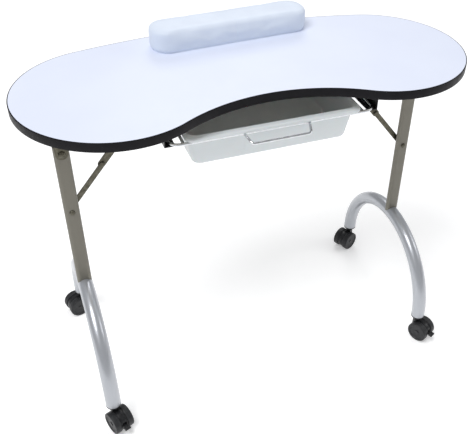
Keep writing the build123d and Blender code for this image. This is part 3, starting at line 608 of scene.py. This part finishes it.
def wheel(corner, side):
    """A moulded wheel: crowned tread with a parting groove, dished outer face, plain inner face."""
    name = f"{corner}_wheel_{side}"
    joint = JOINTS[name + "_spin"]
    outward = Vector(joint["axis"]) * (1 if side == "left" else -1)
    radius, half = WHEEL_RADIUS, WHEEL_HALF_WIDTH
    edge = WHEEL_EDGE_ROUND
    profile = [(WHEEL_BORE, -half), (0.0195, -half), (0.0200, -half + 0.0006), (0.0206, -half)]
    profile += arc(radius - edge, -half + edge, edge, -90, 0, 5)
    profile += [(radius, -WHEEL_GROOVE_HALF), (radius - WHEEL_GROOVE_DEPTH, 0.0),
                (radius, WHEEL_GROOVE_HALF)]
    profile += arc(radius - edge, half - edge, edge, 0, 90, 5)
    profile += [(0.0192, half), (0.0183, half - 0.0013), (0.0120, half - 0.0017)]
    profile += [(0.0075, half - 0.0014), (0.0068, half - 0.0015), (WHEEL_BORE, half - 0.0015)]
    bm = bmesh.new()
    tube_lathe(bm, profile, along(outward, joint["pos_m"]))
    return finish_piece(object_from(name + "_tyre", bm, 32), "black_wheel", name, name)


# --- Cushion -------------------------------------------------------------------------
CUSHION_LENGTH = 0.340
CUSHION_DEPTH = 0.078
CUSHION_TURN = radians(4.0)
CUSHION_END = 0.034
CUSHION_START_INSET = 0.0012
CUSHION_VOXEL = 0.004
CUSHION_SWELL_CAP = 0.0016
CUSHION_FLOAT = 0.0003
SEAM_DEPTH = 0.0007
SEAM_STEP = 0.0012
PUCKER_DEPTH = 0.0003
PUCKER_REACH = 0.012
CLOTH_PRESSURE = 4.0
CLOTH_FRAMES = 20
CUSHION_SMOOTHINGS = 3


def cushion():
    """The wrist cushion: a foam bar in a smooth white cover, with one seam across its middle."""
    low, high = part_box("cushion_pad")
    base_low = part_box("cushion_base")[0].z + CUSHION_FLOAT
    inset = CUSHION_START_INSET
    half_x, half_y = CUSHION_LENGTH / 2 - inset, CUSHION_DEPTH / 2 - inset
    top = high.z - base_low - inset
    round_top, round_foot = 0.0075, 0.003
    rows = [(-round_foot * 0.9, 0.0), (-round_foot * 0.3, round_foot * 0.3), (0.0, round_foot)]
    rows += [(0.0, top * 0.35), (0.0, top - round_top)]
    rows += [(-round_top * (1 - cos(radians(a))), top - round_top * (1 - sin(radians(a))))
             for a in (25, 50, 70, 90)]
    bm = bmesh.new()
    rings = [rounded_ring((0, 0), half_x + grow, half_y + grow, CUSHION_END - inset + grow * 0.9, z)
             for grow, z in rows]
    made = bridge_rings(bm, rings)
    bm.faces.new(made[0])
    bm.faces.new(made[-1])
    pad = object_from("cushion_cover", bm, 180)
    scene = bpy.context.scene
    bpy.context.view_layer.objects.active = pad
    remesh = pad.modifiers.new("remesh", "REMESH")
    remesh.mode = "VOXEL"
    remesh.voxel_size = CUSHION_VOXEL
    bpy.ops.object.modifier_apply(modifier="remesh")
    before = [v.co.copy() for v in pad.data.vertices]
    cloth = pad.modifiers.new("cloth", "CLOTH")
    cloth.settings.use_pressure = True
    cloth.settings.uniform_pressure_force = CLOTH_PRESSURE
    cloth.settings.effector_weights.gravity = 0.0
    cloth.settings.tension_stiffness = 15
    cloth.settings.bending_stiffness = 2
    for number in range(1, CLOTH_FRAMES + 1):
        scene.frame_set(number)
    bpy.ops.object.modifier_apply(modifier="cloth")
    scene.frame_set(1)
    for vertex, start in zip(pad.data.vertices, before):
        move = vertex.co - start
        if move.length > CUSHION_SWELL_CAP:
            vertex.co = start + move.normalized() * CUSHION_SWELL_CAP
    smooth = pad.modifiers.new("smooth", "SMOOTH")
    smooth.factor = 0.5
    smooth.iterations = CUSHION_SMOOTHINGS
    bpy.ops.object.modifier_apply(modifier="smooth")
    subdivide = pad.modifiers.new("subdivide", "SUBSURF")
    subdivide.levels = 1
    bpy.ops.object.modifier_apply(modifier="subdivide")
    sew_and_settle(pad, high.z - base_low)
    centre = (low + high) / 2
    turn = Matrix.Rotation(CUSHION_TURN, 4, "Z")
    pad.data.transform(Matrix.Translation((centre.x, centre.y, base_low)) @ turn)
    finish_piece(pad, "white_vinyl", "wrist_cushion", "cushion_pad")
    return pad


def sew_and_settle(pad, height):
    """Cut the middle seam into the cover, flatten its foot and keep it inside its height."""
    bm = bmesh.new()
    bm.from_mesh(pad.data)
    for step in (-2, -1, 0, 1, 2):
        bmesh.ops.bisect_plane(
            bm, geom=bm.verts[:] + bm.edges[:] + bm.faces[:], plane_co=(step * SEAM_STEP, 0, 0),
            plane_no=(1, 0, 0),
        )
    bm.normal_update()
    for vertex in bm.verts:
        across = vertex.co.x / SEAM_STEP
        pull = SEAM_DEPTH * max(0.0, 1 - abs(across) / 1.6)
        pucker = PUCKER_DEPTH * exp(-(vertex.co.x / PUCKER_REACH) ** 2)
        side = Vector((0, vertex.normal.y, vertex.normal.z * 0.4))
        vertex.co -= side * (pull + pucker)
    crown = max(vertex.co.z for vertex in bm.verts)
    for vertex in bm.verts:
        vertex.co.z = max(vertex.co.z, 0.0)
        if crown > height:
            vertex.co.z *= height / crown
    for face in bm.faces:
        face.smooth = True
    bm.to_mesh(pad.data)
    bm.free()


# --- Build ---------------------------------------------------------------------------
for node, obj in frame["nodes"].items():
    slots = obj.data.materials
    slots.clear()
    slots.append(MATERIALS[SLOT_OF[node]])

edge_band()
tray()
pivot_bolts()
cushion()
for side in SIDES:
    foot_arch(side)
    stay_bolt(side)
    softened(side + "_stay_lower", 0.0005, side + "_stay_lower")
    softened(side + "_stay_upper", 0.0005, side + "_stay_upper")
    softened(side + "_tray_side_bar", 0.0006, "slide_tray")
for corner in CORNERS:
    softened(corner + "_castor_body", 0.0009, corner + "_castor")
    for side in SIDES:
        wheel(corner, side)
for corner in ("front_left", "front_right"):
    softened(corner + "_brake_lever", 0.0007, corner + "_brake")


# --- Floor, light and camera ---------------------------------------------------------
FLOOR_REACH = 30.0


def floor():
    bm = bmesh.new()
    reach = FLOOR_REACH
    signs = ((-1, -1), (1, -1), (1, 1), (-1, 1))
    corners = [bm.verts.new((sx * reach, sy * reach, 0)) for sx, sy in signs]
    bm.faces.new(corners)
    plane = object_from("studio_floor", bm)
    surface = Surface("studio_floor", roughness=0.9, Specular_IOR_Level=0.1, Emission_Strength=0.3)
    surface.shader.inputs["Emission Color"].default_value = (1.0, 1.0, 1.0, 1.0)
    stops = [(0.3, linear(250, 250, 250)), (0.7, linear(252, 252, 252))]
    surface.colour(stops, surface.noise(2, 2))
    plane.data.materials.append(surface.material)


def area_light(name, place, target, size, power):
    light = bpy.data.lights.new(name, "AREA")
    light.energy = power
    light.size = size
    obj = bpy.data.objects.new(name, light)
    bpy.context.scene.collection.objects.link(obj)
    obj.location = place
    direction = Vector(target) - Vector(place)
    obj.rotation_euler = direction.to_track_quat("-Z", "Y").to_euler()


CAMERA_PLACE = (-0.4486, -1.1755, 1.3216)
CAMERA_YAW = 0.4205
CAMERA_PITCH = 0.6725
CAMERA_ROLL = 0.0453
CAMERA_LENS = 54.4
CAMERA_SHIFT = (-0.0961, 0.0159)


def camera():
    data = bpy.data.cameras.new("camera")
    data.sensor_fit = "HORIZONTAL"
    data.sensor_width = 36.0
    data.lens = CAMERA_LENS
    data.shift_x, data.shift_y = CAMERA_SHIFT
    obj = bpy.data.objects.new("camera", data)
    bpy.context.scene.collection.objects.link(obj)
    ahead = Vector((sin(CAMERA_YAW) * cos(CAMERA_PITCH), cos(CAMERA_YAW) * cos(CAMERA_PITCH),
                    -sin(CAMERA_PITCH)))
    right = Vector((cos(CAMERA_YAW), -sin(CAMERA_YAW), 0))
    up = right.cross(ahead)
    right, up = (
        right * cos(CAMERA_ROLL) + up * sin(CAMERA_ROLL),
        up * cos(CAMERA_ROLL) - right * sin(CAMERA_ROLL),
    )
    turn = Matrix((right, up, -ahead)).transposed().to_4x4()
    obj.matrix_world = Matrix.Translation(CAMERA_PLACE) @ turn
    bpy.context.scene.camera = obj


def studio():
    world = bpy.data.worlds.new("studio")
    bpy.context.scene.world = world
    world.use_nodes = True
    background = world.node_tree.nodes["Background"]
    background.inputs["Color"].default_value = (0.97, 0.98, 1.0, 1.0)
    background.inputs["Strength"].default_value = 0.42
    area_light("key", (-2.2, -1.2, 4.9), (0, 0, 0.6), 2.4, 146)
    area_light("fill", (2.8, -0.6, 1.8), (0, 0, 0.4), 1.2, 12)
    area_light("back", (1.2, 3.0, 3.4), (0, 0, 0.7), 2.0, 36)
    bpy.context.scene.view_settings.view_transform = "Standard"


floor()
studio()
camera()
